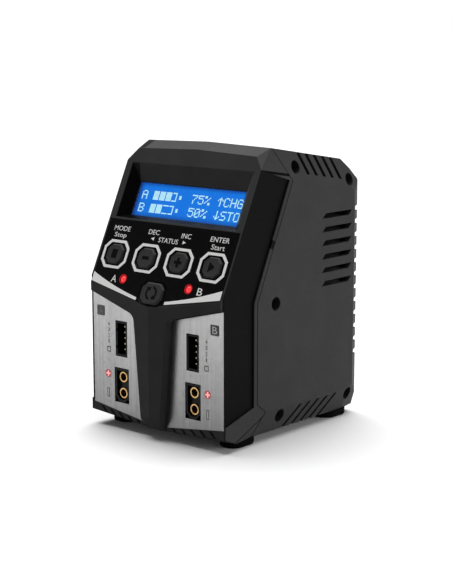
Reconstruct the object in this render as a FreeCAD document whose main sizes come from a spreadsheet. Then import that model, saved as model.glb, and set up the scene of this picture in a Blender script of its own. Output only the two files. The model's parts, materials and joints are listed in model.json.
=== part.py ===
"""A two-channel balance charger for battery packs, as a document of separate pieces.

X runs to the right across the front, Y runs from the front to the back, Z is up. The
origin is under the middle of the object, on the surface that it stands on. Distances
whose names end in _back are measured backwards from the front faces of the two metal
plates. Places on the sloping control face are given as a distance up the slope from
the level of the ground and a depth behind the face.
"""
import FreeCAD, Part
import math
import os

import Sketcher

DIMENSIONS = {
    # overall size and walls
    "body_width": 78.6,
    "body_depth": 97.36,
    "front_reach": 5.01,
    "body_height": 125.0,
    "foot_height": 3.2,
    "wall": 2.2,
    "cutter_size": 420.0,
    # front: the V-shaped nose, the flat plates and the sloping face
    "nose_out": 4.85,
    "wing_out": 1.6,
    "wing_half": 37.7,
    "wing_top": 64.1,
    "wing_under": 60.4,
    "wing_under_inner": 53.2,
    "nose_half_top": 9.6,
    "nose_half_low": 5.0,
    "nose_low": 4.2,
    "front_inset": 0.3,
    "face_slope": 0.474,
    "front_half": 38.5,
    # roof
    "ridge_back": 33.0,
    "roof_rise": 0.4167,
    "top_fall": 0.158,
    "crown": 0.0257,
    "tail_start_back": 79.7,
    "tail_drop": 10.7,
    "back_wall_back": 92.35,
    # seam between the front shell and the covers
    "seam_back": 19.65,
    "seam_top_back": 42.4,
    "seam_top": 110.1,
    "seam_kink": 60.9,
    "seam_toe": 17.5,
    "seam_toe_back": 25.0,
    "seam_low": 13.6,
    "seam_under_back": 19.0,
    "groove_width": 0.4,
    "groove_depth": 0.9,
    "lip_width": 1.9,
    # lower edges
    "skirt": 13.4,
    "under_half": 36.3,
    "chin_low": 3.9,
    "toe_back": 4.7,
    "toe_low": 4.6,
    "chin_vent_first": 10.5,
    "chin_vent_pitch": 5.3,
    "chin_vent_width": 1.6,
    # display
    "recess_half": 35.0,
    "recess_low": 101.4,
    "recess_high": 127.2,
    "view_half": 30.6,
    "view_low": 104.2,
    "view_high": 119.6,
    "view_depth": 4.05,
    "lens_thick": 0.8,
    "bezel_depth": 5.25,
    # buttons and lamps
    "button_row": 84.7,
    "button_outer": 28.1,
    "button_inner": 9.35,
    "button_half_w": 4.8,
    "button_half_h": 4.5,
    "button_gap_w": 1.3,
    "button_gap_h": 0.65,
    "button_lap": 0.6,
    "button_proud": 0.9,
    "button_travel": 0.8,
    "channel_row": 70.0,
    "channel_half_w": 6.2,
    "channel_half_h": 4.7,
    "channel_proud": 1.1,
    "lamp_row": 74.3,
    "lamp_across": 19.0,
    "lamp_radius": 1.5,
    "film_thick": 0.25,
    "film_half": 37.3,
    "film_low_outer": 71.5,
    "film_low_middle": 64.3,
    "film_high": 100.6,
    "board_depth": 10.4,
    "board_thick": 1.6,
    "switch_high": 3.0,
    # front plates and their connectors
    "plate_half": 38.1,
    "plate_thick": 1.0,
    "plate_top": 59.9,
    "plate_low_outer": 10.2,
    "plate_low_inner": 5.8,
    "header_in": 17.34,
    "header_out": 24.42,
    "header_low": 32.7,
    "header_high": 48.5,
    "pin_pitch": 2.5,
    "pin_size": 0.64,
    "socket_in": 16.56,
    "socket_out": 25.28,
    "socket_low": 12.1,
    "socket_high": 27.6,
    "contact_pitch": 7.2,
    "contact_radius": 2.3,
    "contact_bore": 1.75,
    "contact_length": 12.0,
    "fit_gap": 0.3,
    "connector_board_back": 14.0,
    # vents
    "vent_pitch": 5.95,
    "vent_height": 2.25,
    "side_vent_top": 91.8,
    "side_vent_front_back": 63.4,
    "side_vent_rear_back": 82.5,
    "side_vent_lean": 2.3,
    "rear_vent_top": 92.9,
    "top_vent_back": 48.55,
    "top_vent_pitch": 5.68,
    "top_vent_width": 2.0,
    "top_vent_high": 123.9,
    "top_vent_low": 111.6,
    "top_vent_lean": 5.3,
    "under_vent_back": 48.9,
    "under_vent_pitch": 6.23,
    "under_vent_high": 12.2,
    "under_vent_low": 1.7,
    "under_vent_lean": 11.5,
    # case screws
    "boss_radius": 3.9,
    "access_radius": 2.9,
    "screw_radius": 1.5,
    "head_radius": 2.7,
    "post_gap": 0.1,
    "post_root": 0.6,
    "side_screw_grip": 3.2,
    # fan
    "fan_size": 40.0,
    "fan_thick": 10.0,
    "fan_centre": 78.0,
    "fan_back": 79.6,
    "duct_radius": 18.9,
    "blade_radius": 18.2,
    "hub_radius": 8.6,
    # mains inlet
    "inlet_width": 27.0,
    "inlet_height": 20.0,
    "inlet_centre": 27.0,
    # boards and big parts inside
    "side_board_outer": 31.0,
    "side_board_front_back": 37.5,
    "side_board_rear_back": 77.0,
    "charge_board_shift": 10.5,
    "side_board_low": 18.0,
    "side_board_high": 103.0,
    "side_post_radius": 3.0,
    "side_screw_inset": 3.5,
    # feet
    "foot_half": 5.5,
    "foot_length": 16.0,
    "foot_across": 31.5,
    "foot_front_back": 15.8,
    "foot_rear_back": 80.0,
}

doc = FreeCAD.newDocument("BalanceCharger")
sheet = doc.addObject("Spreadsheet::Sheet", "Dims")
for row, (alias, amount) in enumerate(DIMENSIONS.items(), start=1):
    sheet.set(f"A{row}", alias)
    sheet.set(f"B{row}", str(amount))
    sheet.setAlias(f"B{row}", alias)
doc.recompute()


class Size:
    """A length that knows its value and the sheet expression that it comes from."""

    def __init__(self, text, value):
        self.text = text
        self.value = value

    def __add__(self, other):
        return Size(f"({self.text} + {text_of(other)})", self.value + value_of(other))

    def __sub__(self, other):
        return Size(f"({self.text} - {text_of(other)})", self.value - value_of(other))

    def __mul__(self, other):
        return Size(f"({self.text} * {text_of(other)})", self.value * value_of(other))

    def __truediv__(self, other):
        return Size(f"({self.text} / {text_of(other)})", self.value / value_of(other))

    def __neg__(self):
        return Size(f"(0 - {self.text})", -self.value)

    def __radd__(self, other):
        return Size(f"({text_of(other)} + {self.text})", value_of(other) + self.value)

    def __rsub__(self, other):
        return Size(f"({text_of(other)} - {self.text})", value_of(other) - self.value)

    def __rmul__(self, other):
        return Size(f"({text_of(other)} * {self.text})", value_of(other) * self.value)


def text_of(size):
    """The expression of a size, or a plain number written out."""
    return size.text if isinstance(size, Size) else f"({size:.6g})"


def value_of(size):
    """The value of a size or of a plain number."""
    return size.value if isinstance(size, Size) else float(size)


def dim(alias):
    """The driving dimension with this alias."""
    return Size(f"Dims.{alias}", float(sheet.get(alias)))


def bind(thing, path, size):
    """Ties one property of an object to the sheet."""
    thing.setExpression(path, text_of(size))


HALF = dim("body_width") / 2
PLATE_Y = dim("front_reach") - dim("body_depth") / 2
WALL = dim("wall")
FACE_ANGLE = math.atan(dim("face_slope").value)
FACE_Y = PLATE_Y - dim("wing_out") - dim("face_slope") * dim("wing_top")
UP = FreeCAD.Vector(0, 0, 1)
ALONG_X = FreeCAD.Rotation(FreeCAD.Vector(0, 1, 0), 90)
ALONG_Y = FreeCAD.Rotation(FreeCAD.Vector(1, 0, 0), -90)
NO_TURN = FreeCAD.Rotation()
FACE_TURN = FreeCAD.Rotation(FreeCAD.Vector(1, 0, 0), 90 - math.degrees(FACE_ANGLE))
parts = {}


def back(distance):
    """The Y of a place this far behind the front faces of the plates."""
    return PLATE_Y + distance


def face_point(across, slope, depth):
    """The point of space at a place on the control face."""
    flat = FreeCAD.Vector(value_of(across), value_of(slope), -value_of(depth))
    return FACE_TURN.multVec(flat) + FreeCAD.Vector(0, FACE_Y.value, 0)


def keep(node, thing):
    """Names a finished piece and puts it on the list of pieces to write."""
    thing.Label = node
    parts[node] = thing
    return thing


def move(thing, x, y, z, turn=NO_TURN):
    """Places an object, with its position tied to the sheet."""
    base = FreeCAD.Vector(value_of(x), value_of(y), value_of(z))
    thing.Placement = FreeCAD.Placement(base, turn)
    for letter, size in (("x", x), ("y", y), ("z", z)):
        bind(thing, f"Placement.Base.{letter}", size)
    return thing


def on_face(thing):
    """Puts a body that was drawn flat onto the sloping control face."""
    return move(thing, 0, FACE_Y, 0, FACE_TURN)


def block(x, y, z):
    """A box between two values along each axis, given as pairs."""
    solid = doc.addObject("Part::Box", "Block")
    for prop, (low, high) in (("Length", x), ("Width", y), ("Height", z)):
        bind(solid, prop, high - low)
    return move(solid, x[0], y[0], z[0])


def rod(radius, length, x, y, z, turn=NO_TURN):
    """A cylinder that starts at a point and runs along Z before it is turned."""
    solid = doc.addObject("Part::Cylinder", "Rod")
    bind(solid, "Radius", radius)
    bind(solid, "Height", length)
    return move(solid, x, y, z, turn)


def rod_x(radius, x, y, z):
    """A cylinder along X between the two values of the pair x."""
    return rod(radius, x[1] - x[0], x[0], y, z, ALONG_X)


def rod_y(radius, x, y, z):
    """A cylinder along Y between the two values of the pair y."""
    return rod(radius, y[1] - y[0], x, y[0], z, ALONG_Y)


def fuse(*solids):
    """Joins solids into one."""
    joined = doc.addObject("Part::MultiFuse", "Fuse")
    joined.Shapes = list(solids)
    joined.Refine = True
    return joined


def cut(base, *tools):
    """Takes the tools away from the base."""
    result = doc.addObject("Part::Cut", "Cut")
    result.Base = base
    result.Tool = tools[0] if len(tools) == 1 else fuse(*tools)
    result.Refine = True
    return result


def common(first, second):
    """The space that two solids share."""
    result = doc.addObject("Part::Common", "Common")
    result.Base = first
    result.Tool = second
    result.Refine = True
    return result


def group(*solids):
    """Separate solids kept together in one piece."""
    bunch = doc.addObject("Part::Compound", "Group")
    bunch.Links = list(solids)
    return bunch


def origin_plane(body, role):
    """The plane of a body's own origin with this role."""
    return next(item for item in body.Origin.OriginFeatures if item.Role == role)


def open_sketch(body, plane, offset):
    """An empty sketch on one of the body's origin planes, moved along its normal."""
    sketch = body.newObject("Sketcher::SketchObject", "Sketch")
    sketch.AttachmentSupport = [(origin_plane(body, plane), "")]
    sketch.MapMode = "FlatFace"
    bind(sketch, "AttachmentOffset.Base.z", offset)
    return sketch


def pin_point(sketch, geometry, corner, across, up):
    """Ties one point of a sketch to its distances from the sketch's origin."""
    for kind, size in (("DistanceX", across), ("DistanceY", up)):
        rule = Sketcher.Constraint(kind, -1, 1, geometry, corner, value_of(size))
        place = sketch.addConstraint(rule)
        bind(sketch, f"Constraints[{place}]", size)


def draw_polygon(sketch, points):
    """Draws a closed outline whose corners are tied to the sheet."""
    corners = [FreeCAD.Vector(value_of(a), value_of(b), 0) for a, b in points]
    first = sketch.GeometryCount
    count = len(points)
    for index in range(count):
        edge = Part.LineSegment(corners[index], corners[(index + 1) % count])
        sketch.addGeometry(edge)
    for index in range(count):
        after = first + (index + 1) % count
        sketch.addConstraint(Sketcher.Constraint("Coincident", first + index, 2, after, 1))
        pin_point(sketch, first + index, 1, *points[index])


def draw_circle(sketch, across, up, radius):
    """Draws a circle whose centre and radius are tied to the sheet."""
    centre = FreeCAD.Vector(value_of(across), value_of(up), 0)
    circle = sketch.addGeometry(Part.Circle(centre, UP, value_of(radius)))
    pin_point(sketch, circle, 3, across, up)
    rule = Sketcher.Constraint("Radius", circle, value_of(radius))
    bind(sketch, f"Constraints[{sketch.addConstraint(rule)}]", radius)


def pad(body, sketch, length):
    """Raises a sketch along its normal."""
    feature = body.newObject("PartDesign::Pad", "Pad")
    feature.Profile = sketch
    bind(feature, "Length", length)
    return feature


def prism(plane, points, low, high, holes=()):
    """A body: an outline raised from low to high along the plane's own axis."""
    body = doc.addObject("PartDesign::Body", "Prism")
    offset = -high if plane == "XZ_Plane" else low
    sketch = open_sketch(body, plane, offset)
    draw_polygon(sketch, points)
    for hole in holes:
        draw_circle(sketch, *hole)
    pad(body, sketch, high - low)
    return body


def round_corners(body, places, radius):
    """Rounds the straight edges of a body that pass nearest to the given points."""
    doc.recompute()
    edges = body.Shape.Edges
    picked = []
    for place in places:
        spot = Part.Vertex(FreeCAD.Vector(*[value_of(size) for size in place]))
        gaps = [edge.distToShape(spot)[0] for edge in edges]
        picked.append(f"Edge{gaps.index(min(gaps)) + 1}")
    solid = body.Tip
    feature = body.newObject("PartDesign::Fillet", "Fillet")
    feature.Base = (solid, picked)
    bind(feature, "Radius", radius)
    body.Tip = feature
    return body


def octagon(across, up, half_w, half_h, corner):
    """The corners of a rectangle with its corners cut off."""
    low_x = across - half_w
    high_x = across + half_w
    low_y = up - half_h
    high_y = up + half_h
    return [
        (low_x + corner, low_y),
        (high_x - corner, low_y),
        (high_x, low_y + corner),
        (high_x, high_y - corner),
        (high_x - corner, high_y),
        (low_x + corner, high_y),
        (low_x, high_y - corner),
        (low_x, low_y + corner),
    ]


def rectangle(x, y):
    """The corners of a rectangle between two pairs of values."""
    return [(x[0], y[0]), (x[1], y[0]), (x[1], y[1]), (x[0], y[1])]


# ---------------------------------------------------------------- outer form
# The case is a convex form: each flat side is a point and an outward direction, and
# taking away everything beyond every side leaves the form. The same sides moved
# inwards by the wall's thickness give the hollow.


def vector(x, y, z):
    """A vector from sizes or numbers."""
    return FreeCAD.Vector(value_of(x), value_of(y), value_of(z))


def beyond(point, outward, inset):
    """A large box whose lower face lies in a flat side and that reaches outwards."""
    direction = FreeCAD.Vector(outward).normalize()
    size = dim("cutter_size")
    solid = doc.addObject("Part::Box", "Beyond")
    for prop in ("Length", "Width", "Height"):
        bind(solid, prop, size)
    turn = FreeCAD.Rotation(UP, direction)
    corner = turn.multVec(FreeCAD.Vector(-size.value / 2, -size.value / 2, 0))
    base = point - direction * value_of(inset) + corner
    solid.Placement = FreeCAD.Placement(base, turn)
    return solid


def both_sides(point, outward):
    """The same flat side on the right and, mirrored, on the left."""
    mirrored_point = FreeCAD.Vector(-point.x, point.y, point.z)
    mirrored_outward = FreeCAD.Vector(-outward.x, outward.y, outward.z)
    return [(point, outward), (mirrored_point, mirrored_outward)]


def through(first, second, third, outside):
    """A flat side through three points, with the direction that leans to outside."""
    outward = (second - first).cross(third - first)
    if outward.dot(outside) < 0:
        outward = outward * -1
    return both_sides(first, outward)


RIDGE = vector(0, back(dim("ridge_back")), dim("body_height"))
SIDE_OUT = FreeCAD.Vector(1, 0, 0)
CHAMFER_HIGH = vector(35.1, back(dim("ridge_back")), 124.1)
CHAMFER_LOW = vector(HALF, back(dim("seam_top_back")), dim("seam_top"))
SEAM_CORNER = vector(HALF, back(dim("seam_toe_back")), dim("seam_low"))
SEAM_FOOT = vector(dim("under_half"), back(dim("seam_under_back")), dim("foot_height"))
TOE = vector(HALF, back(dim("toe_back")), dim("toe_low"))


def shared_sides():
    """The flat sides that the front shell and the covers have in common."""
    fall = dim("top_fall").value
    crown = dim("crown").value
    tail_y = back(dim("tail_start_back")).value
    tail_z = RIDGE.z - fall * (tail_y - RIDGE.y)
    tail_run = back(dim("back_wall_back")).value - tail_y
    face_out = FreeCAD.Vector(0, -math.cos(FACE_ANGLE), math.sin(FACE_ANGLE))
    sides = [
        (vector(0, back(-dim("front_inset")), 0), FreeCAD.Vector(0, -1, 0)),
        (vector(0, FACE_Y, 0), face_out),
        (vector(0, back(dim("back_wall_back")), 0), FreeCAD.Vector(0, 1, 0)),
        (vector(0, 0, dim("foot_height")), FreeCAD.Vector(0, 0, -1)),
        (vector(0, tail_y, tail_z), FreeCAD.Vector(0, dim("tail_drop").value, tail_run)),
    ]
    sides += both_sides(vector(HALF, 0, 0), SIDE_OUT)
    sides += both_sides(RIDGE, FreeCAD.Vector(crown, -dim("roof_rise").value, 1))
    sides += both_sides(RIDGE, FreeCAD.Vector(crown, fall, 1))
    chin = vector(0, PLATE_Y, dim("chin_low"))
    sides += both_sides(chin, FreeCAD.Vector(0.065, -0.44, -1))
    run = FreeCAD.Vector(0, 1, -fall)
    chamfer_out = (CHAMFER_LOW - CHAMFER_HIGH).cross(run)
    sides += both_sides(CHAMFER_HIGH, chamfer_out)
    rear_edge = vector(HALF, back(86.8), 0)
    rear_corner = vector(36.6, back(dim("back_wall_back")), 0)
    sides += through(rear_edge, rear_corner, rear_edge + UP, SIDE_OUT)
    sides += both_sides(vector(HALF, back(83.8), 104.3), FreeCAD.Vector(0.93, 0.23, 0.285))
    return sides


def front_sides():
    """The flat sides of the front shell alone: its top corners and its toes."""
    brow = vector(33.9, back(25.3), 120.9)
    temple = vector(dim("front_half"), back(22.8), 115.7)
    sides = through(brow, temple, CHAMFER_HIGH, FreeCAD.Vector(1, -1, 1))
    sides += through(SEAM_CORNER, TOE, SEAM_FOOT, SIDE_OUT)
    return sides


def cover_sides():
    """The flat sides of the covers alone: the skirt and its rear corner."""
    skirt_edge = vector(HALF, back(dim("seam_toe_back")), dim("skirt"))
    skirt_back = vector(HALF, back(dim("back_wall_back")), dim("skirt"))
    skirt_foot = vector(dim("under_half"), skirt_edge.y, dim("foot_height"))
    sides = through(skirt_edge, skirt_back, skirt_foot, SIDE_OUT)
    heel = vector(HALF, back(84.2), 13.3)
    sides += both_sides(heel, FreeCAD.Vector(0.93, 0.16, -0.29))
    return sides


def form(sides, inset):
    """The solid inside all the flat sides, each moved inwards by the inset."""
    depth = dim("body_depth")
    height = dim("body_height")
    solid = block((-HALF, HALF), (-depth / 2, depth / 2), (0, height))
    for point, outward in sides:
        solid = cut(solid, beyond(point, outward, inset))
    return solid


def seam_outline(shift, front_edge):
    """The zone in front of the seam, seen from the side, moved back by the shift."""
    seam_y = back(dim("seam_back")) + shift
    top_y = back(dim("seam_top_back")) + shift
    toe_y = back(dim("seam_toe_back")) + shift
    under_y = back(dim("seam_under_back")) + shift
    ridge_y = back(dim("ridge_back")) + shift
    high = dim("body_height") + 5
    return [
        (front_edge, -2),
        (under_y, -2),
        (under_y, dim("foot_height")),
        (toe_y, dim("seam_low")),
        (seam_y, dim("seam_toe")),
        (seam_y, dim("seam_kink")),
        (top_y, dim("seam_top")),
        (ridge_y, dim("body_height") - 0.5),
        (ridge_y, high),
        (front_edge, high),
    ]


def front_zone(shift=0):
    """Everything in front of the seam."""
    outline = seam_outline(shift, -dim("body_depth"))
    return prism("YZ_Plane", outline, -HALF - 5, HALF + 5)


# ---------------------------------------------------------------- cutters


def nose_edge(height):
    """The half width of the nose at a height."""
    rise = dim("wing_under_inner") - dim("nose_low")
    widen = (dim("nose_half_top") - dim("nose_half_low")) / rise
    return dim("nose_half_low") + widen * (height - dim("nose_low"))


def nose_block():
    """The V-shaped nose with its two wings, under the sloping face."""
    wing = dim("wing_half")
    inner_z = dim("wing_under_inner")
    top = dim("body_height") * 0.6
    low = dim("nose_low") - 0.2
    outline = [
        (-dim("nose_half_low"), low),
        (dim("nose_half_low"), low),
        (nose_edge(inner_z), inner_z),
        (wing, dim("wing_under")),
        (wing, top),
        (-wing, top),
        (-wing, dim("wing_under")),
        (-nose_edge(inner_z), inner_z),
    ]
    rear = back(dim("wall") / 2)
    front = back(-dim("nose_out"))
    silhouette = prism("XZ_Plane", outline, front, rear)
    inner = [(nose_edge(inner_z), front, inner_z), (-nose_edge(inner_z), front, inner_z)]
    round_corners(silhouette, inner, 4.0)
    wing_y = PLATE_Y - dim("wing_out")
    plan = [(-wing, rear), (-wing, wing_y), (0, front), (wing, wing_y), (wing, rear)]
    wedge = prism("XY_Plane", plan, 0, top)
    face_out = FreeCAD.Vector(0, -math.cos(FACE_ANGLE), math.sin(FACE_ANGLE))
    solid = cut(common(silhouette, wedge), beyond(vector(0, FACE_Y, 0), face_out, 0))
    nose_bottom = vector(0, front, 10.1)
    chin_edge = vector(0, back(-dim("front_inset")), dim("chin_low"))
    side = FreeCAD.Vector(1, 0, 0.1)
    underside = (chin_edge - nose_bottom).cross(side)
    if underside.z > 0:
        underside = underside * -1
    return cut(solid, beyond(nose_bottom, underside, 0))


def plate_outline(side, gap):
    """The outline of one front plate, grown by a gap, on the side given as 1 or -1."""
    outer = dim("plate_half") + gap
    top = dim("plate_top") + gap
    lean = (dim("wing_under") - dim("wing_under_inner")) / (dim("wing_half") - dim("nose_half_top"))
    inner_top = top - lean * (dim("plate_half") - 10.1)
    clear = 0.35 - gap
    points = [
        (outer, dim("plate_low_outer") - gap),
        (outer, top),
        (nose_edge(inner_top) + clear, inner_top),
        (nose_edge(dim("plate_low_inner")) + clear, dim("plate_low_inner") - gap),
    ]
    return [(side * across, up) for across, up in points]


def plate_body(side, gap, y):
    """One front plate with its inner top corner rounded."""
    outline = plate_outline(side, gap)
    solid = prism("XZ_Plane", outline, *y)
    across, up = outline[2]
    return round_corners(solid, [(across, y[0], up)], 3.8)


def header_window(side, gap, y):
    """The opening for a balance header."""
    x = sorted((side * (dim("header_in") - gap), side * (dim("header_out") + gap)), key=value_of)
    return block(x, y, (dim("header_low") - gap, dim("header_high") + gap))


def socket_window(side, gap, y):
    """The opening for an output socket."""
    x = sorted((side * (dim("socket_in") - gap), side * (dim("socket_out") + gap)), key=value_of)
    return block(x, y, (dim("socket_low") - gap, dim("socket_high") + gap))


def display_funnel():
    """The sloping-sided recess down to the display."""
    funnel = doc.addObject("Part::Wedge", "Funnel")
    # drawn with its wide end towards +Y, which is then turned to face outwards
    lift = dim("view_depth")
    for prop, size in (
        ("Xmin", -dim("view_half")),
        ("Xmax", dim("view_half")),
        ("Zmin", -dim("view_high")),
        ("Zmax", -dim("view_low")),
        ("X2min", -dim("recess_half")),
        ("X2max", dim("recess_half")),
        ("Z2min", -dim("recess_high")),
        ("Z2max", -dim("recess_low")),
        ("Ymin", -lift),
        ("Ymax", 0),
    ):
        bind(funnel, prop, size)
    turn = FACE_TURN.multiply(FreeCAD.Rotation(FreeCAD.Vector(1, 0, 0), 90))
    return move(funnel, 0, FACE_Y, 0, turn)


def face_prism(outline, shallow, deep, holes=()):
    """An outline on the control face, from one depth to a greater one."""
    return on_face(prism("XY_Plane", outline, -deep, -shallow, holes))


def view_outline(grow):
    """The display's visible area, grown by an amount."""
    half = dim("view_half") + grow
    return rectangle((-half, half), (dim("view_low") - grow, dim("view_high") + grow))


BUTTONS = {
    "button_stop": (-dim("button_outer"), dim("button_row")),
    "button_minus": (-dim("button_inner"), dim("button_row")),
    "button_plus": (dim("button_inner"), dim("button_row")),
    "button_start": (dim("button_outer"), dim("button_row")),
    "button_channel": (0, dim("channel_row")),
}


def button_outline(node, gap=0, grow=0):
    """The octagonal outline of a button, widened by a share of its gap and by an amount."""
    across, up = BUTTONS[node]
    channel = node == "button_channel"
    half_w = dim("channel_half_w") if channel else dim("button_half_w")
    half_h = dim("channel_half_h") if channel else dim("button_half_h")
    wide = half_w + dim("button_gap_w") * gap + grow
    high = half_h + dim("button_gap_h") * gap + grow
    return octagon(across, up, wide, high, half_h * 0.55)


def lamp_hole(side, deep):
    """A round hole in the face for a status lamp."""
    body = doc.addObject("PartDesign::Body", "LampHole")
    sketch = open_sketch(body, "XY_Plane", -deep)
    draw_circle(sketch, side * dim("lamp_across"), dim("lamp_row"), dim("lamp_radius") + 0.1)
    pad(body, sketch, deep + 2)
    return on_face(body)


# ---------------------------------------------------------------- case


def bezel_block():
    """The frame behind the face that carries the recess and the display."""
    outline = rectangle(
        (-dim("recess_half") - 1.6, dim("recess_half") + 1.6),
        (dim("recess_low") - 1.8, dim("recess_high") + 1.3),
    )
    return face_prism(outline, 0.6, dim("bezel_depth"))


def band_recess(side):
    """The shallow step in the front shell's side, between its lip and the front."""
    lip_y = back(dim("seam_back") - dim("lip_width"))
    top_y = back(dim("seam_top_back") - dim("lip_width"))
    toe_z = dim("seam_toe") - 0.8
    outline = [
        (-dim("body_depth") / 2 - 3, 11.0),
        (back(0.3), 11.6),
        (lip_y, toe_z),
        (lip_y, dim("seam_kink")),
        (top_y, dim("seam_top") + 0.3),
        (back(22.8), 115.7),
        (-dim("body_depth") / 2 - 3, 118),
    ]
    x = sorted((side * dim("front_half"), side * (HALF + 3)), key=value_of)
    return prism("YZ_Plane", outline, *x)


def seam_groove():
    """The narrow groove along the seam, on the cover side."""
    strip = cut(front_zone(dim("groove_width")), front_zone())
    core = form(shared_sides() + cover_sides(), dim("groove_depth"))
    return cut(strip, core)


def chin_vents(side):
    """Five slots below a plate, open under the edge; they lean the same way on both sides."""
    y = (back(-2), back(2.6))
    lean = 1.1
    half = dim("chin_vent_width") / 2
    vents = []
    for index in range(5):
        across = dim("chin_vent_first") + dim("chin_vent_pitch") * index
        high = 5.0 + 0.12 * across
        centre = side * across
        top_x = centre - lean
        low_x = centre + lean * 4
        low = high - 5
        outline = [(top_x - half, high), (top_x + half, high), (low_x + half, low), (low_x - half, low)]
        vents.append(prism("XZ_Plane", outline, *y))
    return vents


def front_shell():
    """The front of the case: face, nose, chin and the sides as far as the seam."""
    sides = shared_sides() + front_sides()
    skin = cut(form(sides, 0), form(sides, WALL))
    shell = fuse(common(skin, front_zone()), bezel_block(), nose_block())
    through_wall = (back(-6), back(8))
    tools = [display_funnel()]
    tools.append(face_prism(view_outline(1.2), dim("view_depth"), dim("view_depth") + dim("lens_thick")))
    tools.append(face_prism(view_outline(0.2), dim("view_depth"), 8))
    for node in BUTTONS:
        tools.append(face_prism(button_outline(node, 1), -3, 4.2))
    tools.append(face_prism(button_outline("button_channel", 1, 1), 2.4, 10))
    recess = (back(-2), back(dim("plate_thick") + 0.02))
    for side in (1, -1):
        tools.append(lamp_hole(side, 5.0))
        tools.append(band_recess(side))
        tools.append(plate_body(side, 0.12, recess))
        tools.append(header_window(side, 0, through_wall))
        tools.append(socket_window(side, 0, through_wall))
        tools += chin_vents(side)
    keep("front_shell", cut(shell, *tools))


SCREWS = {
    # place behind the plates, height, and how far the head lies from the middle
    "middle": (31.85, 59.0, 20.0),
    "top_front": (46.7, 115.2, 20.0),
    "top_rear": (84.2, 107.2, 20.0),
    "low_front": (36.0, 9.6, 20.0),
    "low_rear": (84.6, 10.2, 20.0),
}


def side_vents(side):
    """The six slanted vents in one side."""
    x = sorted((side * (HALF - 6), side * (HALF + 3)), key=value_of)
    vents = []
    for row in range(6):
        low = dim("side_vent_top") - dim("vent_pitch") * row
        high = low + dim("vent_height")
        front = back(dim("side_vent_front_back"))
        rear = back(dim("side_vent_rear_back"))
        lean = dim("side_vent_lean")
        outline = [(front, low), (rear, low), (rear + lean, high), (front + lean, high)]
        vents.append(prism("YZ_Plane", outline, *x))
    return vents


def rear_vents(side):
    """The twelve rows of vents at the back; the lower six stop beside the inlet."""
    vents = []
    y = (back(dim("back_wall_back") - 4.2), back(dim("back_wall_back") + 3))
    for row in range(12):
        low = dim("rear_vent_top") - dim("vent_pitch") * row
        inner = 2.0 if row < 6 else 20.5
        x = sorted((side * inner, side * (HALF + 2)), key=value_of)
        vents.append(block(x, y, (low, low + dim("vent_height"))))
    return vents


def top_vents(side):
    """The five leaning slots in the top chamfer, open over the edge of the roof."""
    x = sorted((side * (HALF - 11.5), side * (HALF + 3)), key=value_of)
    vents = []
    for index in range(5):
        start = back(dim("top_vent_back") + dim("top_vent_pitch") * index)
        fall = dim("top_fall") * dim("top_vent_pitch") * index
        high = dim("top_vent_high") - fall
        low = dim("top_vent_low") - fall
        width = dim("top_vent_width")
        foot = start + dim("top_vent_lean")
        outline = [(start, high), (start + width, high), (foot + width, low), (foot, low)]
        vents.append(prism("YZ_Plane", outline, *x))
    return vents


def under_vents(side):
    """The five leaning slots in the lower chamfer, open under the edge."""
    x = sorted((side * (HALF - 10), side * (HALF + 3)), key=value_of)
    vents = []
    for index in range(5):
        start = back(dim("under_vent_back") + dim("under_vent_pitch") * index)
        high = dim("under_vent_high")
        low = dim("under_vent_low")
        width = dim("top_vent_width")
        foot = start - dim("under_vent_lean")
        outline = [(start, high), (start + width, high), (foot + width, low), (foot, low)]
        vents.append(prism("YZ_Plane", outline, *x))
    return vents


def side_board_ends(side):
    """How far back the two upright edges of a side board lie."""
    shift = dim("charge_board_shift") if side > 0 else 0
    return dim("side_board_front_back") + shift, dim("side_board_rear_back") + shift


def side_board_corners(side):
    """The places of the four screws of an upright side board, as distance back and height."""
    inset = dim("side_screw_inset")
    front, rear = side_board_ends(side)
    backs = (front + inset, rear - inset)
    heights = (dim("side_board_low") + inset, dim("side_board_high") - inset)
    return [(y_back, z) for y_back in backs for z in heights]


def span_x(side, near, far):
    """A span along X on one side of the case, from two distances off the middle."""
    return (near, far) if side > 0 else (-far, -near)


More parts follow.
